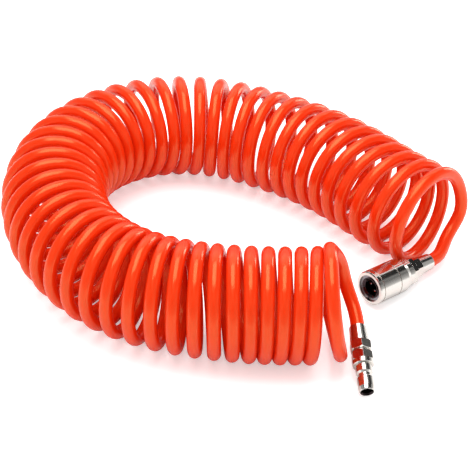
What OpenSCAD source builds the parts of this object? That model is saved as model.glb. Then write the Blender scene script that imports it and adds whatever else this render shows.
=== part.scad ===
// Coiled air hose lying on a flat surface, with a female quick coupler and a male plug.
// Millimetres, +Z up, standing surface at Z = 0, origin at the middle of the footprint.

/* [Hose] */
// Outside diameter of the hose
hose_od = 10; // [9:0.5:10.5]
// Bore of the hose
hose_id = 6.5; // [5.5:0.1:7]
// Outside diameter of the coil
coil_od = 84; // [76:1:100]

/* [Quick connection] */
// Diameter of the plug nose, which the coupler bore is made for
nose_d = 12; // [11.5:0.1:13]
// Length of the plug nose, from its tip to the collar
nose_len = 21; // [19:0.5:26]
// Diameter of the locking balls
ball_d = 3.2; // [3:0.1:3.5]
// Distance from the front of the coupler to the ball row
ball_row = 9; // [8.4:0.1:9.6]

/* [Coupler] */
// Outside diameter of the locking sleeve
sleeve_od = 26.5; // [25:0.5:32]
// Length of the locking sleeve
sleeve_len = 33; // [31:0.5:40]
// Travel of the locking sleeve
sleeve_travel = 5; // [4:0.25:5.2]
// Wire diameter of the sleeve spring
sleeve_wire = 1.1; // [0.9:0.1:1.2]
// Travel of the valve
valve_travel = 3.5; // [2.5:0.1:4]
// Wire diameter of the valve spring
valve_wire = 0.6; // [0.5:0.1:0.7]
// Width across the flats of the adapter hexagon
adapter_af = 19; // [18:1:22]

/* [Hose nuts] */
// Width across the flats of the hose nuts and of the plug hexagon
nut_af = 14; // [13.5:0.5:17]
// Length of the hexagon of a hose nut
nut_hex_len = 7.5; // [6:0.5:10]
// Length of the clamping cone of a hose nut
nut_cone_len = 12.5; // [11:0.5:16]

/* [Hidden] */
$fn = 64;

// Colours
hose_colour = "orangered";
nickel = "silver";
steel = "gainsboro";
spring_steel = "slategray";
brass = "goldenrod";
nitrile = "dimgray";

// Clearances
fit_gap = 0.05;       // running fit of the plug nose, the balls and the poppet stem
slide_gap = 0.08;     // running fit of the sleeve
seat_gap = 0.05;      // faces that rest on each other across a joint
free_gap = 0.3;       // faces that never touch
groove_gap = 0.05;    // play of a ring or a seal in its groove, at each side
seam_turn = 25;       // angle between a ball hole and the seam of the body
join = 0.1;           // how far two shapes of one piece run into each other
past = 1;             // how far a cutting shape reaches past its piece
ball_pitch = 60;      // angle between two balls
ball_start = 12;      // angle of the first ball

// ---- Route of the coil -------------------------------------------------------------------
// The middle line of the coil is a uniform cubic B-spline on the floor plan. One point stands
// for each three turns, so where the points are close the turns lie close together.
turns_per_point = 3;
coil_route = [[128, -126], [93, -126], [68, -121], [35, -122], [-1, -120], [-38, -113],
              [-76, -98], [-109, -69], [-134, -27], [-145, 24], [-137, 74], [-107, 113],
              [-61, 133], [-13, 128], [29, 106], [71, 78], [105, 40], [132, 1],
              [180, -34], [252, -86]];
first_turn = 0.5;     // turn at which the coil's solid starts, at the plug end
last_turn = 45.5;     // turn at which it ends, at the coupler end
leave_plug = 0.05;    // turn at which the hose leaves the coil for the plug
leave_coupler = 46.2; // turn at which it leaves the coil for the coupler
lift_height = 5;      // how far the loose first turn stands up from the rest
lift_turns = 1.1;     // over how many turns it does so
fan_out = 26;         // how far the bottom of the loose turns fans out, before it fades
fan_sides = 3;        // how much less their sides do
fan_turns = 1.5;      // over how many turns the fan fades
tail_step = 1 / 12;   // share of a turn between the control points of a tail on the coil
coil_r = coil_od / 2; // outer radius of the coil
turn_r = coil_r - hose_od / 2; // radius of the middle line of a turn
// Control points of the tails between the coil and the fittings
plug_tail = [[66, -114, 86], [66, -99, 76], [76, -89, 59], [79, -92, 40]];
coupler_tail = [[180, 15, 30], [166, 5, 15]];
tail_rings = 15;         // rings along a tail's skin
tail_sides = 12;         // sides of that skin
plug_tail_reach = 16;    // spacing of the last points of a tail, along its fitting
coupler_tail_reach = 14;

// Where the fittings lie: front point, heading of their rear end, and how much it rises
plug_tip = [91, -171, 5.1];
plug_heading = 94;
plug_rise = 18;
coupler_mouth = [100, -67, 16.3];
coupler_heading = 40;
coupler_rise = -4.5;

// ---- Quick connection, measured along the coupler from its mouth ---------------------------
nose_r = nose_d / 2;
bore_r = nose_r + fit_gap;
body_front = 0.8;                          // the body lies this far inside the sleeve's rim
ball_r = ball_d / 2;
ball_wall = 2.15;                          // wall of the body around the balls
front_r = bore_r + ball_wall;              // outside of the body under the sleeve's land
land_r = front_r + slide_gap;              // bore of the sleeve that locks the balls
ball_out = 1.1;                            // how far the balls move outward
ramp = ball_out / sleeve_travel;           // slope of the sleeve's ramp
ball_seat = land_r - (ball_r + fit_gap) * sqrt(1 + ramp * ramp); // ball centres when locked
ball_hole_r = ball_r + fit_gap;
ball_lip_r = ball_r - 0.06;                // keeps a ball from falling into the bore
ball_lip_out = 0.07;                       // thickness of that lip
mouth_chamfer = 1.3;                       // lead-in of the bore
wiper_groove = [ball_row - 2.4, 0.5, 0.3]; // start, width and depth of a dirt groove

// Stop ring that keeps the sleeve on the body
ring_front = body_front + 0.8;
ring_len = 0.95;
ring_groove_r = front_r - 0.7;
ring_r = ramp * (ball_row - ring_front - ring_len) + land_r + 0.45;

// Plug seal in its groove
seal_front = ball_row + 3.7;
seal_len = 3;
seal_groove_r = bore_r + 1.25;

// Valve
plug_stop = body_front;                     // the plug's collar stops here
plug_depth = plug_stop + nose_len;          // the plug's tip then lies here
poppet_front = plug_depth - valve_travel;
seat_front = plug_depth + 0.5;              // web with the valve seat
seat_len = 1.5;
chamber_front = seat_front + seat_len;
chamber_r = bore_r + 0.95;
seat_r = bore_r - 0.9;                      // hole of the valve seat
poppet_r = seat_r - 0.2;                    // tube of the poppet that passes the seat
poppet_tube_wall = 1.1;
valve_seal_len = 0.8;
valve_seal_in = 0.2;                        // how far the seal lies inside the head's edge
head_front = chamber_front + seat_gap + valve_seal_len;
head_len = 1.8;
head_r = chamber_r - 0.8;
stem_r = 1.5;
valve_spring_r = 3.4;
valve_spring_turns = 3;
valve_spring_solid = (valve_spring_turns + 1) * valve_wire; // its length when closed up
guide_front = head_front + head_len + valve_travel + valve_spring_solid + free_gap;
guide_len = 1.5;
adapter_front = guide_front + guide_len + seat_gap;

// Body behind the sleeve
collar_front = sleeve_len - 1.5;            // the collar reaches this far into the sleeve
thread_grip = 4;                            // thread of the adapter inside the body
body_rear = max(sleeve_len + sleeve_travel + free_gap + 0.2, adapter_front + thread_grip);
spring_room_r = sleeve_od / 2 - 2.1;        // bore of the sleeve around its spring
collar_r = spring_room_r - slide_gap;
waist_r = spring_room_r - 0.45 - sleeve_wire; // body inside the spring
land_end = ball_row + 8.5;                  // the sleeve's land ends at the spring
sleeve_spring_r = spring_room_r - 0.25 - sleeve_wire / 2;
sleeve_spring_turns = 5.5;
waist_front = land_end + sleeve_travel + 0.8;
grip_groove = [0.8, 0.6];                   // width and depth of the grooves in the sleeve

// Adapter behind the body
thread_r = 7.6;                             // thread between body and adapter
adapter_hex_len = 5.5;
adapter_hex_front = body_rear + 0.2;       // room for the seal ring's squeeze
adapter_hex_rear = adapter_hex_front + adapter_hex_len;
adapter_bore_r = 3.2;
seal_ring_r = thread_r + 1.1;               // mean radius of the seal ring in front of the hexagon
seal_ring_wire = 0.6;                       // radius of its section

// Hose clamping, the same on both fittings
hose_r = hose_od / 2;
hose_bore_r = hose_id / 2;
barb_r = hose_bore_r + 0.5;                 // tips of the barbs
barb_root_r = hose_bore_r + 0.15;
barb_count = 4;
barb_short = 2;                             // the barbs end this far inside the nut's cone
barb_bore_r = hose_bore_r - 1.05;
end_bore_r = barb_r + fit_gap;              // bore of the hose stretched over the barbs
end_r = sqrt(end_bore_r * end_bore_r + hose_r * hose_r - hose_bore_r * hose_bore_r);
clamp_r = end_r + fit_gap;                  // bore of the nut around the hose
nut_thread_r = clamp_r + 0.5;
nut_len = nut_hex_len + nut_cone_len;
nut_cone_front_r = nut_af / 2;
nut_cone_rear_r = clamp_r + 0.9;
thread_len = nut_hex_len + 0.3;             // threaded end that the nut screws onto
hose_stop = nut_hex_len + 0.8;              // the hose ends here inside the nut
coupler_nut_front = adapter_hex_rear + free_gap;
coupler_len = coupler_nut_front + nut_len;

// Plug, measured from its tip
plug_bore_r = 3.75;
tip_r = nose_r - 0.6;
tip_hole_r = tip_r - 0.8;
tip_cone_len = 3.2;
notch_at = plug_depth - ball_row;           // the locking notch lies under the balls
notch_depth = 1.25;
notch_flat = 1.9;
plug_collar_len = 3.5;
plug_collar_r = nose_r + 1.6;
plug_hex_len = 7;
plug_hex_front = nose_len + plug_collar_len;
plug_hex_rear = plug_hex_front + plug_hex_len;
plug_nut_front = plug_hex_rear + 1.5;
plug_len = plug_nut_front + nut_len;

// ---- Functions ---------------------------------------------------------------------------
function unit(v) = v / norm(v);

// Point of a uniform cubic B-spline at u, with u = 0 at the start of its first stretch
function spline(c, u) =
    let (i = min(floor(u), len(c) - 4), t = u - i)
    (pow(1 - t, 3) * c[i] + (3 * pow(t, 3) - 6 * t * t + 4) * c[i + 1]
     + (-3 * pow(t, 3) + 3 * t * t + 3 * t + 1) * c[i + 2] + pow(t, 3) * c[i + 3]) / 6;

// Direction of that spline at u
function spline_dir(c, u) =
    unit(spline(c, min(u + 0.01, len(c) - 3)) - spline(c, max(u - 0.01, 0)));

// Place on coil_route at a number of turns, and the level direction there
function route_u(turn) = turn / turns_per_point + 1;
function route_at(turn) = spline(coil_route, route_u(turn));
function route_dir(turn) = spline_dir(coil_route, route_u(turn));

// Point at a radius round the middle line: at the top for a whole turn, then outward and down
function around(turn, r) =
    let (p = route_at(turn), d = route_dir(turn), a = 360 * turn,
         loose = max(0, 1 - turn / lift_turns),
         lift = lift_height * loose * loose * (3 - 2 * loose),
         fade = pow(max(0, 1 - turn / fan_turns), 2),
         fan = fade * (fan_out * (1 - cos(a)) / 2 - fan_sides * sin(a) * sin(a)))
    [p.x - r * sin(a) * d.y - fan * d.x, p.y + r * sin(a) * d.x - fan * d.y,
     coil_r + lift + r * cos(a)];

// Control point of a tail where it still lies on the coil
function coil_point(turn) = around(turn, turn_r * 3 / (2 + cos(360 * tail_step)));

// Direction from the front of a fitting to its rear end
function rearward(heading, rise) =
    [cos(rise) * cos(heading), cos(rise) * sin(heading), sin(rise)];

// Whole control list of a tail: its points on the coil, its own points, three on the fitting
function tail_list(from, leave, own, rear, back, reach) =
    let (step = from > leave ? tail_step : -tail_step, n = ceil((from - leave) / step) + 1)
    concat([for (k = [n:-1:0]) coil_point(leave + k * step)], own,
           [for (k = [1:-1:-1]) rear + k * reach * back]);

// Ring of points round a centre, across direction d
function ring(centre, d, ref, r, sides) =
    let (a = unit(cross(d, ref)), b = cross(a, d))
    [for (k = [0:sides - 1]) centre + r * (cos(360 * k / sides) * a + sin(360 * k / sides) * b)];

// Height along a spring with closed ends at a number of its turns
function spring_z(turn, turns, len, wire) =
    let (dead = 0.75, pitch = (len - wire - 2 * dead * wire) / (turns - 2 * dead))
    wire / 2 + wire * min(turn, dead) + pitch * max(0, min(turn, turns - dead) - dead)
    + wire * max(0, turn - turns + dead);

// ---- Shapes that repeat ------------------------------------------------------------------
// Skin through a list of rings, closed at both ends
module skin(rings) {
    n = len(rings[0]);
    m = len(rings);
    sides = [for (i = [0:m - 2], k = [0:n - 1])
             [i * n + k, i * n + (k + 1) % n, (i + 1) * n + (k + 1) % n, (i + 1) * n + k]];
    start = [for (k = [n - 1:-1:0]) k];
    end = [for (k = [0:n - 1]) (m - 1) * n + k];
    polyhedron(points = [for (r = rings, p = r) p], faces = concat(sides, [start, end]),
               convexity = 10);
}

// Tube that follows a control list
module tube(c, ref, count, sides) {
    span = len(c) - 3;
    skin([for (k = [0:count]) ring(spline(c, span * k / count), spline_dir(c, span * k / count),
                                   ref, hose_r, sides)]);
}

// Round wire spring between two levels
module spring(r, wire, turns, from, to) {
    steps = round(turns * 16);
    skin([for (k = [0:steps])
          let (t = turns * k / steps, a = 360 * t)
          ring([r * cos(a), r * sin(a), from + spring_z(t, turns, to - from, wire)],
               [-sin(a), cos(a), 0], [0, 0, 1], wire / 2, 8)]);
}

// Hexagonal prism with its corners turned off at both ends
module hexagon(af, from, to) {
    corner = af / 2 / cos(30);
    face_r = af / 2 - 0.25;                // round face left by the turned-off corners
    wide_r = corner + past;                // the cutting profile, at its widest
    drop = (wide_r - face_r) * tan(30);
    small_r = face_r - past / tan(30);     // and its radius beyond each face
    intersection() {
        translate([0, 0, from]) cylinder(r = corner, h = to - from, $fn = 6);
        rotate_extrude() polygon([
            [0, from - past], [small_r, from - past], [wide_r, from + drop],
            [wide_r, to - drop], [small_r, to + past], [0, to + past]]);
    }
}

module hole(r, from, to) {
    translate([0, 0, from]) cylinder(r = r, h = to - from);
}

// Puts a fitting, built along +Z from its front, where it lies
module at_coupler() {
    translate(coupler_mouth) rotate([0, 90 - coupler_rise, coupler_heading]) children();
}

module at_plug() {
    translate(plug_tip) rotate([0, 90 - plug_rise, plug_heading]) children();
}

// Threaded end and barbs that hold the hose, from the front of the nut
module hose_stem(from) {
    barb_len = (nut_cone_len - barb_short) / barb_count;
    first = from + hose_stop;
    hole(nut_thread_r - fit_gap, from - free_gap, from + thread_len);
    hole(barb_root_r, from + thread_len - join, first + join);
    for (k = [0:barb_count - 1])
        translate([0, 0, first + k * barb_len])
            cylinder(r1 = barb_r, r2 = barb_root_r, h = barb_len);
}

// End of the hose, stretched over the barbs and held by the nut
module hose_end(from) {
    difference() {
        hole(end_r, from + hose_stop, from + nut_len);
        hole(end_bore_r, from + hose_stop - past, from + nut_len + past);
    }
}

// Nut with a hexagon and a cone, screwed over the threaded end
module hose_nut(from) {
    difference() {
        union() {
            hexagon(nut_af, from, from + nut_hex_len);
            translate([0, 0, from + nut_hex_len - join])
                cylinder(r1 = nut_cone_front_r, r2 = nut_cone_rear_r, h = nut_cone_len + join);
        }
        rotate_extrude() polygon([
            [0, from - past], [nut_thread_r, from - past], [nut_thread_r, from + thread_len],
            [clamp_r, from + thread_len], [clamp_r, from + nut_len + past],
            [0, from + nut_len + past]]);
    }
}

// ---- Hose --------------------------------------------------------------------------------
module hose_coil() {
    count = round(last_turn - first_turn);
    sides = 24;
    color(hose_colour)
        skin([for (k = [0:count])
              let (turn = first_turn + (last_turn - first_turn) * k / count,
                   p = route_at(turn), d = route_dir(turn))
              ring([p.x, p.y, coil_r], [d.x, d.y, 0], [0, 0, 1], coil_r, sides)]);
}

module hose_tail_plug() {
    back = rearward(plug_heading, plug_rise);
    c = tail_list(first_turn, leave_plug, plug_tail, plug_tip + plug_len * back, back,
                  plug_tail_reach);
    color(hose_colour) tube(c, [1, 0, 0], tail_rings, tail_sides);
}

module hose_tail_coupler() {
    back = rearward(coupler_heading, coupler_rise);
    side = route_dir(leave_coupler);
    c = tail_list(last_turn, leave_coupler, coupler_tail, coupler_mouth + coupler_len * back,
                  back, coupler_tail_reach);
    color(hose_colour) tube(c, [side.x, side.y, 0], tail_rings, tail_sides);
}

module hose_end_plug() {
    color(hose_colour) at_plug() hose_end(plug_nut_front);
}

module hose_end_coupler() {
    color(hose_colour) at_coupler() hose_end(coupler_nut_front);
}

// ---- Coupler -----------------------------------------------------------------------------
module socket_body() {
    ring_rear = ring_front + ring_len + groove_gap;
    groove_front = adapter_hex_front - 2 * seal_ring_wire;
    wiper_rear = wiper_groove[0] + wiper_groove[1];
    wiper_r = bore_r + wiper_groove[2];
    seal_rear = seal_front + seal_len + groove_gap;
    color(nickel) at_coupler() difference() {
        rotate([0, 0, ball_start + seam_turn]) rotate_extrude() polygon([
            // Outside, with the groove of the stop ring
            [bore_r + mouth_chamfer, body_front], [front_r, body_front],
            [front_r, ring_front - groove_gap], [ring_groove_r, ring_front - groove_gap],
            [ring_groove_r, ring_rear], [front_r, ring_rear], [front_r, waist_front],
            [waist_r, waist_front], [waist_r, collar_front], [collar_r, collar_front],
            [collar_r, body_rear],
            // Rear face, with the groove of the seal ring
            [seal_ring_r + seal_ring_wire, body_rear], [seal_ring_r + seal_ring_wire, groove_front],
            [seal_ring_r - seal_ring_wire, groove_front], [seal_ring_r - seal_ring_wire, body_rear],
            // Thread, valve chamber and valve seat
            [thread_r, body_rear], [thread_r, adapter_front], [chamber_r, adapter_front],
            [chamber_r, chamber_front], [seat_r, chamber_front], [seat_r, seat_front],
            // Bore, with the grooves of the plug seal and the wiper
            [bore_r, seat_front], [bore_r, seal_rear], [seal_groove_r, seal_rear],
            [seal_groove_r, seal_front - groove_gap], [bore_r, seal_front - groove_gap],
            [bore_r, wiper_rear], [wiper_r, wiper_rear],
            [wiper_r, wiper_groove[0]], [bore_r, wiper_groove[0]],
            [bore_r, body_front + mouth_chamfer]]);
        // Ball holes
        for (k = [0:5]) rotate([0, 0, ball_start + ball_pitch * k]) translate([0, 0, ball_row])
            rotate([0, 90, 0]) rotate([0, 0, 2 * seam_turn]) {
                translate([0, 0, bore_r - past]) cylinder(r = ball_lip_r, h = ball_wall + 2 * past);
                translate([0, 0, bore_r + ball_lip_out]) cylinder(r = ball_hole_r, h = ball_wall);
            }
    }
}

module lock_sleeve() {
    recess_end = ring_front + ring_len + seat_gap;
    recess_r = ring_r + free_gap;
    ramp_front_r = land_r + ramp * (ball_row - recess_end);
    sleeve_r = sleeve_od / 2;
    rim = 0.8;                             // chamfer of the front rim
    rear_cone = [1, 3];                    // depth and length of the cone at the rear
    grooves = [3.6, sleeve_len * 0.64];
    color(nickel) at_coupler() difference() {
        rotate_extrude() polygon([
            [recess_r, 0], [sleeve_r - rim, 0], [sleeve_r, rim],
            [sleeve_r, sleeve_len - rear_cone[1]], [sleeve_r - rear_cone[0], sleeve_len],
            [spring_room_r, sleeve_len], [spring_room_r, land_end], [land_r, land_end],
            [land_r, ball_row], [ramp_front_r, recess_end], [recess_r, recess_end]]);
        for (z = grooves) translate([0, 0, z]) difference() {
            cylinder(r = sleeve_r + past, h = grip_groove[0]);
            translate([0, 0, -past])
                cylinder(r = sleeve_r - grip_groove[1], h = grip_groove[0] + 2 * past);
        }
    }
}

module sleeve_spring() {
    color(spring_steel) at_coupler()
        spring(sleeve_spring_r, sleeve_wire, sleeve_spring_turns, land_end + seat_gap,
               collar_front - seat_gap);
}

module stop_ring() {
    split = 3;                             // the gap that lets the ring spread
    color(spring_steel) at_coupler() difference() {
        hole(ring_r, ring_front, ring_front + ring_len);
        hole(ring_groove_r + fit_gap, ring_front - past, ring_front + ring_len + past);
        translate([0, -split / 2, ring_front - past])
            cube([ring_r + past, split, ring_len + 2 * past]);
    }
}

module lock_ball(number) {
    color(steel) at_coupler()
        rotate([0, 0, ball_start + ball_pitch * (number - 1)])
            translate([ball_seat, 0, ball_row]) sphere(r = ball_r);
}

module plug_seal() {
    lip = 0.6;                             // slope of its lips, along the bore
    lip_r = bore_r + 0.03;
    face_r = bore_r + 0.5;
    seal_rear = seal_front + seal_len;
    color(nitrile) at_coupler() rotate_extrude() polygon([
        [lip_r, seal_front + lip], [face_r, seal_front], [seal_groove_r - fit_gap, seal_front],
        [seal_groove_r - fit_gap, seal_rear], [face_r, seal_rear], [lip_r, seal_rear - lip]]);
}

module valve_poppet() {
    window_start = 1.4;                    // from the poppet's front
    window_end = 2;                        // from the poppet's head
    web = 0.6;                             // what closes the tube in front of the head
    stem_past = 1.5;                       // how far the stem shows behind the guide
    window = [2 * poppet_r, 4, head_front - poppet_front - window_start - window_end];
    color(brass) at_coupler() difference() {
        union() {
            hole(poppet_r, poppet_front, head_front + join);
            hole(head_r, head_front, head_front + head_len);
            hole(stem_r, head_front, guide_front + guide_len + stem_past);
        }
        hole(poppet_r - poppet_tube_wall, poppet_front - past, head_front - web);
        // Windows that let the air past the seat
        for (k = [0:2]) rotate([0, 0, 120 * k + 30])
            translate([0, -window.y / 2, poppet_front + window_start]) cube(window);
    }
}

module valve_seal() {
    color(nitrile) at_coupler() difference() {
        hole(head_r - valve_seal_in, chamber_front + seat_gap, head_front);
        hole(poppet_r, chamber_front - past, head_front + past);
    }
}

module valve_spring() {
    color(spring_steel) at_coupler() rotate([0, 0, 90])
        spring(valve_spring_r, valve_wire, valve_spring_turns, head_front + head_len + seat_gap,
               guide_front - seat_gap);
}

module valve_guide() {
    air_hole_r = 1.1;
    air_ring_r = valve_spring_r + 1.9;     // the air holes stand on this radius
    color(brass) at_coupler() difference() {
        hole(chamber_r - fit_gap, guide_front, guide_front + guide_len);
        hole(stem_r + fit_gap, guide_front - past, guide_front + guide_len + past);
        for (k = [0:5]) rotate([0, 0, 60 * k]) translate([air_ring_r, 0, guide_front - past])
            cylinder(r = air_hole_r, h = guide_len + 2 * past);
    }
}

module hose_adapter() {
    room_r = thread_r - 1;                 // room for the air behind the guide
    room_len = 2;
    bore_end = adapter_hex_rear - 1;       // the wide bore ends inside the hexagon
    color(nickel) at_coupler() difference() {
        union() {
            hole(thread_r - fit_gap, adapter_front, adapter_hex_front + join);
            hexagon(adapter_af, adapter_hex_front, adapter_hex_rear);
            hose_stem(coupler_nut_front);
        }
        hole(room_r, adapter_front - past, adapter_front + room_len);
        hole(adapter_bore_r, adapter_front, bore_end);
        hole(barb_bore_r, adapter_front, coupler_len + past);
    }
}

module adapter_seal() {
    color(nitrile) at_coupler() translate([0, 0, adapter_hex_front - seal_ring_wire])
        rotate_extrude() translate([seal_ring_r, 0]) circle(r = seal_ring_wire, $fn = 32);
}

module coupler_nut() {
    color(nickel) at_coupler() hose_nut(coupler_nut_front);
}

// ---- Plug --------------------------------------------------------------------------------
module plug_body() {
    notch_r = nose_r - notch_depth;
    tip_edge = [0.3, 0.5];                 // depth and length of the edge at the tip
    collar_edge = 0.4;
    countersink_len = 1.2;
    color(nickel) at_plug() difference() {
        union() {
            rotate_extrude() polygon([
                [0, 0], [tip_r - tip_edge[0], 0], [tip_r, tip_edge[1]], [nose_r, tip_cone_len],
                [nose_r, notch_at - notch_flat / 2 - notch_depth],
                [notch_r, notch_at - notch_flat / 2], [notch_r, notch_at + notch_flat / 2],
                [nose_r, notch_at + notch_flat / 2 + notch_depth], [nose_r, nose_len],
                [plug_collar_r - collar_edge, nose_len], [plug_collar_r, nose_len + collar_edge],
                [plug_collar_r, plug_hex_front + join], [0, plug_hex_front + join]]);
            hexagon(nut_af, plug_hex_front, plug_hex_rear);
            hole(nut_thread_r - fit_gap, plug_hex_rear - join, plug_nut_front);
            hose_stem(plug_nut_front);
        }
        translate([0, 0, -0.01])
            cylinder(r1 = tip_hole_r, r2 = plug_bore_r, h = countersink_len);
        hole(plug_bore_r, 0, plug_hex_front);
        hole(barb_bore_r, plug_hex_front - past, plug_len + past);
    }
}

module plug_nut() {
    color(nickel) at_plug() hose_nut(plug_nut_front);
}

hose_coil();
hose_tail_plug();
hose_tail_coupler();
hose_end_plug();
hose_end_coupler();
socket_body();
lock_sleeve();
sleeve_spring();
stop_ring();
lock_ball(1);  // lock_ball_1
lock_ball(2);  // lock_ball_2
lock_ball(3);  // lock_ball_3
lock_ball(4);  // lock_ball_4
lock_ball(5);  // lock_ball_5
lock_ball(6);  // lock_ball_6
plug_seal();
valve_poppet();
valve_seal();
valve_spring();
valve_guide();
hose_adapter();
adapter_seal();
coupler_nut();
plug_body();
plug_nut();
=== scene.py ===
"""Looks of a coiled air hose with a quick coupler and a plug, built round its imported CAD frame."""
import math
import bpy
import numpy as np
from bpy.props import FloatProperty, FloatVectorProperty, PointerProperty
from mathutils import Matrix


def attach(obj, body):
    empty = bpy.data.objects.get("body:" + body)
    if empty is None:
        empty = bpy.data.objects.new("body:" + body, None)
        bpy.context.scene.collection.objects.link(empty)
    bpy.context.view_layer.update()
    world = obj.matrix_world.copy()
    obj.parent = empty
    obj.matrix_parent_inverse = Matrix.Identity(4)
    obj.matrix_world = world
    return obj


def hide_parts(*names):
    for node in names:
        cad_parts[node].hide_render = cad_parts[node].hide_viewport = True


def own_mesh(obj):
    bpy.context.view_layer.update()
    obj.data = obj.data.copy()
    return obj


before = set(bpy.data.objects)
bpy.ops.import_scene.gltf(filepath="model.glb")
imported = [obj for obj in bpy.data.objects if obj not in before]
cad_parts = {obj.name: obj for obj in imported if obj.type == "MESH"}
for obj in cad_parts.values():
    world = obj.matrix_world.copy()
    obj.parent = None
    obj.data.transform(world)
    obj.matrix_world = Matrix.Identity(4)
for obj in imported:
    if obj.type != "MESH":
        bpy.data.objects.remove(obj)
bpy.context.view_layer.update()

bl_info = {
    "name": "Coiled air hose",
    "version": (1, 0, 0),
    "blender": (4, 5, 0),
    "location": "3D View > Sidebar > Air hose",
    "description": "Hose winding, turned fittings, finishes and studio for a coiled air hose",
    "category": "Object",
}

MM = 0.001
TAU = 2 * math.pi

# ---- Hose: sizes in millimetres, the same as in the CAD source ---------------------------
HOSE_R = 5.0                 # outside radius of the hose
COIL_R = 42.0                # outside radius of the coil
TURN_R = COIL_R - HOSE_R     # radius of a turn's middle line
# Control points of the coil's middle line on the floor plan, from the plug to the coupler
COIL_ROUTE = np.array([
    [128, -126], [93, -126], [68, -121], [35, -122], [-1, -120], [-38, -113], [-76, -98],
    [-109, -69], [-134, -27], [-145, 24], [-137, 74], [-107, 113], [-61, 133], [-13, 128],
    [29, 106], [71, 78], [105, 40], [132, 1], [180, -34], [252, -86]], float)
TURNS_PER_POINT = 3.0        # turns wound from one control point to the next
LEAVE_PLUG = 0.05            # turns at which the hose leaves the coil for each fitting
LEAVE_COUPLER = 46.2
LIFT = 5.0                   # height by which the loose first turn stands up
LIFT_TURNS = 1.1             # turns over which it comes down
FAN = 26.0                   # how far the bottom of the loose first turns fans out
FAN_SIDES = 3.0              # how much less their sides do
FAN_TURNS = 1.5              # turns over which the fan closes
TAIL_STEP = 1 / 12           # part of a turn between a tail's first points, on the winding
PLUG_TAIL = [[66, -114, 86], [66, -99, 76], [76, -89, 59], [79, -92, 40]]
COUPLER_TAIL = [[180, 15, 30], [166, 5, 15]]
PLUG_REACH = 16.0            # spacing of a tail's last three points, on the fitting's axis
COUPLER_REACH = 14.0

# How the turns lie over, in the visual model only, at the control points of the route
# Splay: degrees by which their planes are turned from square to the route, because the bend
# squeezes the turns together on its inside
COIL_SPLAY = (0, 0, 0, 0, 11, 11, 11, 11, 10, 9, 9, 11, 13, 15, 7, -1, 0, 0, 0, 0)
# Lean: millimetres by which their bottoms lie behind their tops, along the route
COIL_LEAN = (0, 0, 0, 0, 4, 4, 4, 4, 5, 3, 2, 2, 2, 2, 0, 0, 0, 0, 0, 0)
COIL_TILT = np.array([COIL_SPLAY, COIL_LEAN], float).T

# How finely the hose is drawn
HOSE_STEP = 5.2              # millimetres from one ring of its mesh to the next
HOSE_SIDES = 24
COIL_SAMPLES = 12000         # points worked out on the coil before they are spaced evenly
TAIL_SAMPLES = 60            # and on each span of a tail
INNER_SAMPLES = 40           # and in the straight stretch inside a nut

# ---- Fittings: sizes in millimetres, the same as in the CAD source ------------------------
# Each fitting's front point, and the heading and rise in degrees of its axis, which runs from
# its front to its hose
PLUG_TIP, PLUG_HEADING, PLUG_RISE = np.array([91, -171, 5.1]), 94.0, 18.0
MOUTH, COUPLER_HEADING, COUPLER_RISE = np.array([100, -67, 16.3]), 40.0, -4.5
NUT_LEN = 20.0               # length of each hose nut, which ends its fitting
COUPLER_LEN = 44.5 + NUT_LEN
PLUG_LEN = 33.0 + NUT_LEN
HOSE_STOP = 8.3              # the hose ends this far behind a nut's front
END_R = 5.37                 # outside radius of the hose over the barbs
END_FADE = 5.0               # length over which it comes back to its own radius
# Springs: mean radius, wire, turns, distances of the two ends from the mouth, and travel
SLEEVE_SPRING = (10.35, 1.1, 5.5, 17.55, 31.45, 5.0)
VALVE_SPRING = (3.4, 0.6, 3.0, 26.5, 32.6, 3.5)
SPRING_SAMPLES = 40          # rings of wire in a turn
SPRING_SIDES = 10
DEAD_TURNS = 0.75            # closed turns at each end of a spring
COUPLER_BORE_SHADE = (8.3, 23.0)   # radius and depth of the painted shade in each bore
PLUG_BORE_SHADE = (4.7, 24.0)

# ---- Studio: metres and degrees -----------------------------------------------------------
LENS, SENSOR = 108.0, 36.0   # millimetres
CAMERA_PLACE = (0, -0.90870, 0.64697)
CAMERA_DOWN = 34.669         # degrees down from level
FLOOR_HALF = 6.0             # half the floor's side
FLOOR_DROP = 0.0003          # just below the hose, so that the two never coincide
FLOOR_GLOW = 0.42            # light added to the floor for the camera alone


# ---- Colours and node helper ------------------------------------------------------------
def srgb(code, alpha=1.0):
    """Linear colour of an sRGB hex code: a channel c becomes ((c + 0.055) / 1.055) ** 2.4, or
    c / 12.92 where it is very dark."""
    value = [int(code[i:i + 2], 16) / 255 for i in (1, 3, 5)]
    return (*[c / 12.92 if c <= 0.04045 else ((c + 0.055) / 1.055) ** 2.4 for c in value], alpha)


def add_node(tree, kind, links=None, **settings):
    """A node of that kind. links maps an input to (node, output); settings whose names are
    sockets, with _ for a space, set their values, and the others set the node's own."""
    made = tree.nodes.new(kind)
    for key, value in settings.items():
        if key in made.bl_rna.properties:
            setattr(made, key, value)
    for key, value in settings.items():
        name = key.replace("_", " ")
        if key not in made.bl_rna.properties:
            made.inputs[name].default_value = value
    for key, (source, output) in (links or {}).items():
        tree.links.new(source.outputs[output], made.inputs[key])
    return made


def new_material(name):
    """An empty node material of that name, and its tree."""
    material = bpy.data.materials.new(name)
    material.use_nodes = True
    material.node_tree.nodes.clear()
    return material, material.node_tree


def close_material(tree, shader):
    """Puts that shader on the material's surface."""
    add_node(tree, "ShaderNodeOutputMaterial", {"Surface": (shader, 0)})


# ---- Shapes -----------------------------------------------------------------------------
def unit(v):
    """Each vector divided by its own length."""
    return v / np.linalg.norm(v, axis=-1, keepdims=True)


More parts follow.
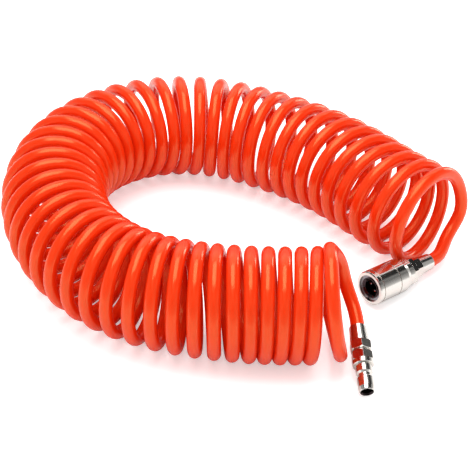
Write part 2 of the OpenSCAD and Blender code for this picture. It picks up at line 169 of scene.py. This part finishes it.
def spline(points, u):
    """Uniform cubic B-spline: the four points round u, weighted by the cubic basis."""
    points = np.asarray(points, float)
    i = np.clip(np.floor(u).astype(int), 0, len(points) - 4)
    t = (u - i)[:, None]
    weights = [(1 - t) ** 3, 3 * t ** 3 - 6 * t ** 2 + 4,
               -3 * t ** 3 + 3 * t ** 2 + 3 * t + 1, t ** 3]
    return sum(w * points[i + k] for k, w in enumerate(weights)) / 6


def route(turn):
    """Place of the coil's middle line on the floor plan, the way each turn faces, which is the
    route's own way turned by the splay, and the turn's lean."""
    u = turn / TURNS_PER_POINT + 1
    near = 0.01
    place = spline(COIL_ROUTE, u)
    ahead = unit(spline(COIL_ROUTE, u + near) - spline(COIL_ROUTE, u - near))
    tilt = spline(COIL_TILT, u)
    splay = np.radians(tilt[:, 0])
    x = ahead[:, 0] * np.cos(splay) - ahead[:, 1] * np.sin(splay)
    y = ahead[:, 0] * np.sin(splay) + ahead[:, 1] * np.cos(splay)
    return place, np.stack([x, y], axis=1), tilt[:, 1]


def winding(turn, radius):
    """Point of the winding at each turn: the middle line plus radius times (cos a up, minus
    sin a across), where a goes once round in a turn. The loose first turn stands up a little,
    the first turns fan out backwards, most at the bottom, and all lean back by the route's
    lean."""
    place, ahead, lean = route(turn)
    a = TAU * turn
    loose = np.clip(1 - turn / LIFT_TURNS, 0, 1)
    lift = LIFT * loose ** 2 * (3 - 2 * loose)
    open_turn = np.clip(1 - turn / FAN_TURNS, 0, 1)
    low = (1 - np.cos(a)) / 2
    fan = open_turn ** 2 * (FAN * low - FAN_SIDES * np.sin(a) ** 2) + lean * low
    return np.stack([place[:, 0] - radius * np.sin(a) * ahead[:, 1] - fan * ahead[:, 0],
                     place[:, 1] + radius * np.sin(a) * ahead[:, 0] - fan * ahead[:, 1],
                     COIL_R + lift + radius * np.cos(a)], axis=1)


def pose_matrix(heading, rise):
    """Rotation that puts a fitting's own axes in the row frame: +Z runs from its front to its
    hose. A turn of 90 - rise about Y, then of heading about Z."""
    t, h = math.radians(90 - rise), math.radians(heading)
    about_y = np.array([[math.cos(t), 0, math.sin(t)], [0, 1, 0], [-math.sin(t), 0, math.cos(t)]])
    about_z = np.array([[math.cos(h), -math.sin(h), 0], [math.sin(h), math.cos(h), 0], [0, 0, 1]])
    return about_z @ about_y


def tail(leave, step, own, front, matrix, length, reach):
    """Loose end: a B-spline with five control points on the winding, its own points and three
    on the fitting's axis, so that it starts on the winding and ends straight, then a straight
    stretch inside the nut. A B-spline runs inside a circle of control points a step apart, so
    they lie 3 / (2 + cos step) further out."""
    back = matrix[:, 2]
    rear = front + length * back
    turns = leave + step * np.array([4, 3, 2, 1, 0.0])
    on_coil = winding(turns, TURN_R * 3 / (2 + math.cos(TAU * TAIL_STEP)))
    ends = [rear + k * reach * back for k in (1, 0, -1)]
    points = np.vstack([on_coil, own, ends])
    spans = len(points) - 3
    line = spline(points, np.linspace(0, spans, spans * TAIL_SAMPLES + 1)[1:])
    inner = rear - (NUT_LEN - HOSE_STOP) * back
    steps = np.linspace(0, 1, INNER_SAMPLES)[1:, None]
    return np.vstack([line, line[-1] + (inner - line[-1]) * steps])


def hose_line(spacing):
    """Middle line of the whole hose from the coupler to the plug at an even spacing, the turn
    that each point belongs to, and its length from the coupler. Both tails and the winding are
    joined at a knot of the tails' splines, then read off by length."""
    coupler = tail(LEAVE_COUPLER, -TAIL_STEP, COUPLER_TAIL, MOUTH,
                   pose_matrix(COUPLER_HEADING, COUPLER_RISE), COUPLER_LEN, COUPLER_REACH)
    plug = tail(LEAVE_PLUG, TAIL_STEP, PLUG_TAIL, PLUG_TIP, pose_matrix(PLUG_HEADING, PLUG_RISE),
                PLUG_LEN, PLUG_REACH)
    first, last = LEAVE_PLUG + 3 * TAIL_STEP, LEAVE_COUPLER - 3 * TAIL_STEP
    turns = np.linspace(last, first, COIL_SAMPLES)
    coil = winding(turns, TURN_R)
    line = np.vstack([coupler[::-1], coil, plug])
    at_turn = np.concatenate([np.full(len(coupler), last), turns, np.full(len(plug), first)])
    run = np.concatenate([[0], np.cumsum(np.linalg.norm(np.diff(line, axis=0), axis=1))])
    count = int(round(run[-1] / spacing)) + 1
    even = np.linspace(0, run[-1], count)
    points = np.stack([np.interp(even, run, line[:, k]) for k in range(3)], axis=1)
    return points, np.interp(even, run, at_turn), even


def grid_mesh(name, points, material, uv=None):
    """A closed tube from a grid of points in millimetres: rows follow one another along it and
    each row is a ring round it. Its ends are capped by one face each. uv gives the distance
    along at each row and the share of the way round at each column."""
    rows, cols = points.shape[:2]
    vertices = (points.reshape(-1, 3) * MM).astype(float)
    r, c = np.meshgrid(np.arange(rows - 1), np.arange(cols), indexing="ij")
    right = (c + 1) % cols
    quads = np.stack([r * cols + c, r * cols + right, (r + 1) * cols + right, (r + 1) * cols + c],
                     axis=-1).reshape(-1, 4)
    faces = [tuple(q) for q in quads.tolist()]
    faces.append(tuple(range(cols - 1, -1, -1)))
    faces.append(tuple(range((rows - 1) * cols, rows * cols)))
    mesh = bpy.data.meshes.new(name)
    mesh.from_pydata(vertices.tolist(), [], faces)
    if uv is not None:
        along, around = uv
        layer = mesh.uv_layers.new(name="UVMap")
        corner_row = np.stack([r, r, r + 1, r + 1], axis=-1).reshape(-1)
        corner_col = np.stack([c, c + 1, c + 1, c], axis=-1).reshape(-1)
        data = np.stack([along[corner_row], around[corner_col]], axis=1)
        caps = np.zeros((len(mesh.loops) - len(data), 2))
        layer.data.foreach_set("uv", np.vstack([data, caps]).astype("f").ravel())
    mesh.polygons.foreach_set("use_smooth", np.ones(len(mesh.polygons), bool))
    mesh.materials.append(material)
    mesh.update()
    made = bpy.data.objects.new(name, mesh)
    bpy.context.scene.collection.objects.link(made)
    return made


def coil_spring(name, mean_r, wire, turns, start, end, material):
    """A compression spring with closed ends on the coupler's axis: a circle of wire carried
    along a helix of mean_r. Its height is start plus the wire's radius, then one wire a turn
    over the dead turns at each end and an even pitch between them."""
    live = turns - 2 * DEAD_TURNS
    pitch = (end - start - wire - 2 * DEAD_TURNS * wire) / live
    turn = np.linspace(0, turns, int(turns * SPRING_SAMPLES) + 1)
    height = (start + wire / 2 + wire * np.minimum(turn, DEAD_TURNS)
              + pitch * np.clip(turn - DEAD_TURNS, 0, live)
              + wire * np.maximum(0, turn - turns + DEAD_TURNS))
    angle = TAU * turn
    line = np.stack([mean_r * np.cos(angle), mean_r * np.sin(angle), height], axis=1)
    ahead = unit(np.gradient(line, axis=0))
    out = unit(line * (1, 1, 0))
    up = np.cross(ahead, out)
    around = np.linspace(0, TAU, SPRING_SIDES, endpoint=False)
    skin = (line[:, None] + wire / 2 * (np.cos(around)[None, :, None] * out[:, None]
                                        + np.sin(around)[None, :, None] * up[:, None]))
    placed = MOUTH + skin @ pose_matrix(COUPLER_HEADING, COUPLER_RISE).T
    return grid_mesh(name, placed, material)


# ---- Finishes ---------------------------------------------------------------------------
def polyurethane(colour):
    """Extruded polyurethane, a glossy flexible plastic that lets a little light in, so that its
    dark side glows. Its reflections are tinted by the pigment near the surface. The die leaves
    about 40 faint lines round the hose, and the pigment varies over some 17 mm."""
    material, tree = new_material("Extruded polyurethane")
    uv = add_node(tree, "ShaderNodeUVMap", uv_map="UVMap")
    lines = add_node(tree, "ShaderNodeMapping", {"Vector": (uv, "UV")}, Scale=(6.0, 40.0, 1.0))
    fine = add_node(tree, "ShaderNodeTexNoise", {"Vector": (lines, 0)}, Scale=1.0, Detail=3.0)
    place = add_node(tree, "ShaderNodeTexCoord")
    cloud = add_node(tree, "ShaderNodeTexNoise", {"Vector": (place, "Object")}, Scale=60.0,
                     Detail=2.0)
    tone = add_node(tree, "ShaderNodeMix", {"Factor": (cloud, 0)}, data_type="RGBA")
    tone.inputs["A"].default_value = colour
    tone.inputs["B"].default_value = tuple(c * 0.9 for c in colour[:3]) + (1.0,)
    rough = add_node(tree, "ShaderNodeMapRange", {"Value": (fine, 0)}, To_Min=0.16, To_Max=0.24)
    bump = add_node(tree, "ShaderNodeBump", {"Height": (fine, 0)}, Strength=0.05, Distance=0.0002)
    shader = add_node(tree, "ShaderNodeBsdfPrincipled",
                      {"Base Color": (tone, "Result"), "Roughness": (rough, 0),
                       "Normal": (bump, 0)},
                      IOR=1.5, Specular_IOR_Level=0.9, Specular_Tint=(1.0, 0.85, 0.35, 1.0))
    inner = add_node(tree, "ShaderNodeBsdfTranslucent", {"Color": (tone, "Result")})
    mixed = add_node(tree, "ShaderNodeMixShader", {1: (shader, 0), 2: (inner, 0)}, Fac=0.25)
    close_material(tree, mixed)
    return material


def plated(name, colour, roughness, front, heading, rise, bore=None):
    """Turned metal with a bright nickel plate. The tool leaves rings round the axis some 0.3 mm
    apart, which stretch the reflections, handling leaves duller patches of about 5 mm, and edges are
    broken by 0.2 mm. bore is the radius and depth, from the front, of a bore whose metal is painted
    dark as shade."""
    material, tree = new_material(name)
    place = add_node(tree, "ShaderNodeTexCoord")
    own = add_node(tree, "ShaderNodeMapping", {"Vector": (place, "Object")}, vector_type="TEXTURE",
                   Location=tuple(front * MM),
                   Rotation=(0, math.radians(90 - rise), math.radians(heading)))
    along = add_node(tree, "ShaderNodeMapping", {"Vector": (own, 0)}, Scale=(20, 20, 3500))
    rings = add_node(tree, "ShaderNodeTexNoise", {"Vector": (along, 0)}, Scale=1.0, Detail=2.0)
    patches = add_node(tree, "ShaderNodeTexNoise", {"Vector": (own, 0)}, Scale=180.0, Detail=3.0)
    rough = add_node(tree, "ShaderNodeMapRange", {"Value": (patches, 0)},
                     To_Min=roughness * 0.7, To_Max=roughness * 1.5)
    edges = add_node(tree, "ShaderNodeBevel", Radius=0.2 * MM, samples=4)
    bump = add_node(tree, "ShaderNodeBump", {"Height": (rings, 0), "Normal": (edges, 0)},
                    Strength=0.12, Distance=0.00005)
    shader = add_node(tree, "ShaderNodeBsdfPrincipled",
                      {"Roughness": (rough, 0), "Normal": (bump, 0)}, Base_Color=colour,
                      Metallic=1.0)
    # Painted shade: the metal inside the bore is painted dark where shade falls in it.
    if bore:
        paint_bore_shade(tree, own, shader, colour, *bore)
    close_material(tree, shader)
    return material


def paint_bore_shade(tree, own, shader, colour, radius, depth):
    """Painted shade in a bore: the metal is painted dark where the distance from the axis, in the
    fitting's own coordinates, is under radius and the distance from the front under depth."""
    across = add_node(tree, "ShaderNodeVectorMath", {0: (own, 0)}, operation="MULTIPLY")
    across.inputs[1].default_value = (1, 1, 0)
    reach = add_node(tree, "ShaderNodeVectorMath", {0: (across, 0)}, operation="LENGTH")
    near = add_node(tree, "ShaderNodeMath", {0: (reach, "Value")}, operation="LESS_THAN")
    near.inputs[1].default_value = radius * MM
    axes = add_node(tree, "ShaderNodeSeparateXYZ", {"Vector": (own, 0)})
    shallow = add_node(tree, "ShaderNodeMath", {0: (axes, "Z")}, operation="LESS_THAN")
    shallow.inputs[1].default_value = depth * MM
    inside = add_node(tree, "ShaderNodeMath", {0: (near, 0), 1: (shallow, 0)},
                      operation="MULTIPLY")
    tone = add_node(tree, "ShaderNodeMix", {"Factor": (inside, 0)}, data_type="RGBA")
    tone.inputs["A"].default_value = colour
    # Dark reddish grey painted into the bore as its shade.
    tone.inputs["B"].default_value = srgb("#3A3032")
    tree.links.new(tone.outputs["Result"], shader.inputs["Base Color"])


def plain_metal(name, colour, roughness, scale):
    """Bare metal with an uneven grain left by drawing, turning or polishing, whose patches are
    1 / scale metres across."""
    material, tree = new_material(name)
    place = add_node(tree, "ShaderNodeTexCoord")
    grain = add_node(tree, "ShaderNodeTexNoise", {"Vector": (place, "Object")}, Scale=scale,
                     Detail=3.0)
    rough = add_node(tree, "ShaderNodeMapRange", {"Value": (grain, 0)},
                     To_Min=roughness * 0.7, To_Max=roughness * 1.4)
    bump = add_node(tree, "ShaderNodeBump", {"Height": (grain, 0)}, Strength=0.1, Distance=0.00005)
    shader = add_node(tree, "ShaderNodeBsdfPrincipled",
                      {"Roughness": (rough, 0), "Normal": (bump, 0)}, Base_Color=colour,
                      Metallic=1.0)
    close_material(tree, shader)
    return material


def rubber():
    """Moulded nitrile rubber: matt black with a grain of 0.4 mm from the mould."""
    material, tree = new_material("Nitrile rubber")
    place = add_node(tree, "ShaderNodeTexCoord")
    grain = add_node(tree, "ShaderNodeTexNoise", {"Vector": (place, "Object")}, Scale=2500.0,
                     Detail=2.0)
    bump = add_node(tree, "ShaderNodeBump", {"Height": (grain, 0)}, Strength=0.2, Distance=0.00005)
    shader = add_node(tree, "ShaderNodeBsdfPrincipled", {"Normal": (bump, 0)},
                      Base_Color=srgb("#1E1E1F"), Roughness=0.55)
    close_material(tree, shader)
    return material


def wear_finish(name, material):
    """Gives a CAD node that material."""
    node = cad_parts[name]
    node.data.materials.clear()
    node.data.materials.append(material)


# ---- Studio -----------------------------------------------------------------------------
def studio_floor(scene, colour):
    """One large square, pale and matt, and lifted a little for the camera so that only the real
    shadows show."""
    material, tree = new_material("White studio floor")
    path = add_node(tree, "ShaderNodeLightPath")
    lift = add_node(tree, "ShaderNodeMath", {0: (path, "Is Camera Ray")}, operation="MULTIPLY")
    lift.inputs[1].default_value = FLOOR_GLOW
    flat = add_node(tree, "ShaderNodeBsdfDiffuse", Color=colour)
    glow = add_node(tree, "ShaderNodeEmission", {"Strength": (lift, 0)})
    both = add_node(tree, "ShaderNodeAddShader", {0: (flat, 0), 1: (glow, 0)})
    close_material(tree, both)
    half, low = FLOOR_HALF, -FLOOR_DROP
    mesh = bpy.data.meshes.new("floor")
    mesh.from_pydata([(-half, -half, low), (half, -half, low), (half, half, low),
                      (-half, half, low)], [], [(0, 1, 2, 3)])
    mesh.materials.append(material)
    floor = bpy.data.objects.new("floor", mesh)
    scene.collection.objects.link(floor)


def studio_world(scene, ambient):
    """Soft light from everywhere, and white behind everything. In mirrors it is a dim room with
    a few paler patches overhead, and paler again towards the horizon."""
    world = bpy.data.worlds.new("world")
    scene.world = world
    world.use_nodes = True
    tree = world.node_tree
    tree.nodes.clear()
    path = add_node(tree, "ShaderNodeLightPath")
    way = add_node(tree, "ShaderNodeTexCoord")
    blots = add_node(tree, "ShaderNodeTexNoise", {"Vector": (way, "Generated")}, Scale=2.2,
                     Detail=1.0)
    room = add_node(tree, "ShaderNodeMapRange", {"Value": (blots, 0)}, From_Min=0.45,
                    From_Max=0.6, To_Min=0.02, To_Max=0.5)
    axes = add_node(tree, "ShaderNodeSeparateXYZ", {"Vector": (way, "Generated")})
    low = add_node(tree, "ShaderNodeMapRange", {"Value": (axes, "Z")}, From_Min=0.05,
                   From_Max=0.5, To_Min=0.7, To_Max=0.0)
    seen = add_node(tree, "ShaderNodeMath", {0: (room, 0), 1: (low, 0)}, operation="MAXIMUM")
    soft = add_node(tree, "ShaderNodeBackground", Color=(1, 1, 1, 1), Strength=ambient)
    dim = add_node(tree, "ShaderNodeBackground", {"Strength": (seen, 0)}, Color=(1, 1, 1, 1))
    white = add_node(tree, "ShaderNodeBackground", Color=(1, 1, 1, 1), Strength=1.0)
    mirrored = add_node(tree, "ShaderNodeMixShader", {0: (path, "Is Glossy Ray"),
                                                      1: (soft, 0), 2: (dim, 0)})
    mixed = add_node(tree, "ShaderNodeMixShader", {0: (path, "Is Camera Ray"),
                                                   1: (mirrored, 0), 2: (white, 0)})
    add_node(tree, "ShaderNodeOutputWorld", {"Surface": (mixed, 0)})


def studio_lamps(scene, key, back):
    """A soft box overhead, a small one behind on the right and a wide one behind. The power of
    each is pi times its area times the brightness of its face. Unturned, it shines straight
    down, so it is tilted up by its target's angle from there, then turned to the target."""
    # Name, place, point it faces, width, height, and brightness of its face
    lamps = [("top box", (-0.1, -0.02, 1.2), (-0.1, 0, 0.0), 1.0, 1.15, key),
             ("side box", (1.2, 1.15, 0.35), (0, 0, 0.05), 0.4, 0.6, key * 1.5),
             ("back box", (0.0, 1.5, 1.25), (0, 0, 0.0), 2.6, 1.2, back)]
    for name, place, target, width, height, glow in lamps:
        lamp = bpy.data.lights.new(name, "AREA")
        lamp.shape = "RECTANGLE"
        lamp.size, lamp.size_y = width, height
        lamp.energy = math.pi * width * height * glow
        made = bpy.data.objects.new(name, lamp)
        made.location = place
        aim = np.array(target) - np.array(place)
        made.rotation_euler = (math.atan2(math.hypot(aim[0], aim[1]), -aim[2]), 0,
                               math.atan2(aim[1], aim[0]) - math.pi / 2)
        scene.collection.objects.link(made)


# ---- Settings ---------------------------------------------------------------------------
class HoseSettings(bpy.types.PropertyGroup):
    """What a user would change on the hose"""
    radius: FloatProperty(name="Hose radius", description="Outside radius of the hose",
                          default=HOSE_R * MM, min=0.003, max=0.008, subtype="DISTANCE",
                          unit="LENGTH")
    colour: FloatVectorProperty(name="Hose colour", description="Colour of the polyurethane",
                                default=srgb("#F7380D"), size=4, min=0, max=1, subtype="COLOR")


class FittingSettings(bpy.types.PropertyGroup):
    """What a user would change on the coupler and the plug"""
    plate: FloatVectorProperty(name="Plate colour", description="Colour of the nickel plate",
                               default=srgb("#D9D5CF"), size=4, min=0, max=1, subtype="COLOR")
    roughness: FloatProperty(name="Plate roughness", description="Roughness of the nickel plate",
                             default=0.13, min=0, max=1, subtype="FACTOR")


class StudioSettings(bpy.types.PropertyGroup):
    """What a user would change in the studio"""
    floor: FloatVectorProperty(name="Floor colour", description="Colour of the matt floor",
                               default=srgb("#F2F2F2"), size=4, min=0, max=1, subtype="COLOR")
    ambient: FloatProperty(name="Ambient light", description="Brightness of the surroundings",
                           default=0.95, min=0)
    key: FloatProperty(name="Soft boxes", description="Brightness of the soft boxes",
                       default=3.6, min=0)
    back: FloatProperty(name="Back light", description="Brightness of the soft box behind",
                        default=0.9, min=0)


# ---- Operators --------------------------------------------------------------------------
class AIRHOSE_OT_studio(bpy.types.Operator):
    """Camera, floor, world and lights"""
    bl_idname = "airhose.studio"
    bl_label = "Build studio"

    def execute(self, context):
        scene = context.scene
        settings = scene.airhose_studio
        camera = bpy.data.objects.new("camera", bpy.data.cameras.new("camera"))
        scene.collection.objects.link(camera)
        scene.camera = camera
        camera.data.lens = LENS
        camera.data.sensor_width = SENSOR
        camera.location = CAMERA_PLACE
        camera.rotation_euler = (math.radians(90 - CAMERA_DOWN), 0, 0)
        scene.view_settings.view_transform = "Standard"
        studio_floor(scene, settings.floor)
        studio_world(scene, settings.ambient)
        studio_lamps(scene, settings.key, settings.back)
        return {"FINISHED"}


class AIRHOSE_OT_hose(bpy.types.Operator):
    """The whole winding and both loose ends as one hose: a circle carried along the middle line,
    between a first vector square to it and to the turn's way, and a second square to both. It
    is stretched over the barbs at both ends."""
    bl_idname = "airhose.hose"
    bl_label = "Build hose"

    def execute(self, context):
        settings = context.scene.airhose_hose
        line, at_turn, run = hose_line(HOSE_STEP)
        ahead = unit(np.gradient(line, axis=0))
        coil_way = np.zeros_like(line)
        coil_way[:, :2] = route(at_turn)[1]
        side = unit(np.cross(ahead, coil_way))
        up = np.cross(ahead, side)
        radius = np.full(len(line), settings.radius / MM)
        inside = NUT_LEN - HOSE_STOP
        for far in (run, run[-1] - run):
            stretch = np.clip((inside + END_FADE - far) / END_FADE, 0, 1)
            radius += (END_R - HOSE_R) * stretch ** 2 * (3 - 2 * stretch)
        angle = np.linspace(0, TAU, HOSE_SIDES, endpoint=False)
        points = (line[:, None] + radius[:, None, None]
                  * (np.cos(angle)[None, :, None] * side[:, None]
                     + np.sin(angle)[None, :, None] * up[:, None]))
        uv = (run * MM, np.linspace(0, 1, HOSE_SIDES + 1))
        hose = grid_mesh("hose", points, polyurethane(tuple(settings.colour)), uv=uv)
        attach(hose, "hose_and_fittings")
        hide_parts("hose_coil", "hose_tail_plug", "hose_tail_coupler", "hose_end_plug",
                    "hose_end_coupler")
        return {"FINISHED"}


class AIRHOSE_OT_fittings(bpy.types.Operator):
    """Finishes of the turned, plated and moulded pieces of the coupler and the plug, with shade
    painted into their bores
    """
    bl_idname = "airhose.fittings"
    bl_label = "Finish fittings"

    def execute(self, context):
        settings = context.scene.airhose_fittings
        plate, roughness = tuple(settings.plate), settings.roughness
        at_coupler = (MOUTH, COUPLER_HEADING, COUPLER_RISE)
        at_plug = (PLUG_TIP, PLUG_HEADING, PLUG_RISE)
        finishes = (
            (plated("Nickel-plated steel, coupler", plate, roughness, *at_coupler),
             ("lock_sleeve", "hose_adapter", "coupler_nut")),
            # The plug body's and the socket body's bores get painted shade.
            (plated("Nickel-plated steel, plug, painted bore shade", plate, roughness, *at_plug, bore=PLUG_BORE_SHADE),
             ("plug_body", "plug_nut")),
            (plated("Nickel-plated steel, coupler, painted bore shade", plate, roughness, *at_coupler,
                    bore=COUPLER_BORE_SHADE), ("socket_body",)),
            (plain_metal("Polished bearing steel", srgb("#C8CACD"), 0.12, 800.0),
             ["lock_ball_%d" % number for number in range(1, 7)]),
            (plain_metal("Turned brass", srgb("#D9B56A"), 0.25, 1500.0),
             ("valve_poppet", "valve_guide")),
            (rubber(), ("plug_seal", "valve_seal", "adapter_seal")))
        for material, names in finishes:
            for name in names:
                wear_finish(name, material)
        return {"FINISHED"}


class AIRHOSE_OT_springs(bpy.types.Operator):
    """Both springs of the coupler, wound from round wire, and the wire of the stop ring"""
    bl_idname = "airhose.springs"
    bl_label = "Build springs"

    def execute(self, context):
        wire = plain_metal("Drawn spring wire", srgb("#8E8E93"), 0.3, 2500.0)
        wear_finish("stop_ring", wire)
        for name, joint, (mean_r, thick, turns, start, end, travel) in (
                ("sleeve_spring", "sleeve_slide", SLEEVE_SPRING),
                ("valve_spring", "valve_slide", VALVE_SPRING)):
            wound = coil_spring(name + "_wire", mean_r, thick, turns, start, end, wire)
            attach(wound, "hose_and_fittings")
            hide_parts(name)
            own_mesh(wound)
        return {"FINISHED"}


class AIRHOSE_PT_panel(bpy.types.Panel):
    """Air hose settings and build buttons"""
    bl_label = "Air hose"
    bl_idname = "AIRHOSE_PT_panel"
    bl_space_type = "VIEW_3D"
    bl_region_type = "UI"
    bl_category = "Air hose"

    def draw(self, context):
        scene = context.scene
        for group, operators in ((scene.airhose_studio, ("airhose.studio",)),
                                 (scene.airhose_hose, ("airhose.hose",)),
                                 (scene.airhose_fittings, ("airhose.fittings",
                                                           "airhose.springs"))):
            box = self.layout.box()
            for key in group.bl_rna.properties.keys():
                if key not in ("rna_type", "name"):
                    box.prop(group, key)
            for operator in operators:
                box.operator(operator)


CLASSES = (HoseSettings, FittingSettings, StudioSettings, AIRHOSE_OT_studio, AIRHOSE_OT_hose,
           AIRHOSE_OT_fittings, AIRHOSE_OT_springs, AIRHOSE_PT_panel)


def register():
    """Puts the classes and the three groups of settings into Blender."""
    for item in CLASSES:
        bpy.utils.register_class(item)
    bpy.types.Scene.airhose_hose = PointerProperty(type=HoseSettings)
    bpy.types.Scene.airhose_fittings = PointerProperty(type=FittingSettings)
    bpy.types.Scene.airhose_studio = PointerProperty(type=StudioSettings)


def unregister():
    """Takes them out again."""
    for key in ("airhose_hose", "airhose_fittings", "airhose_studio"):
        delattr(bpy.types.Scene, key)
    for item in reversed(CLASSES):
        bpy.utils.unregister_class(item)


def main():
    """Builds everything, the camera and the hose first."""
    register()
    bpy.ops.airhose.studio()
    bpy.ops.airhose.hose()
    bpy.ops.airhose.fittings()
    bpy.ops.airhose.springs()


if __name__ == "__main__":
    main()
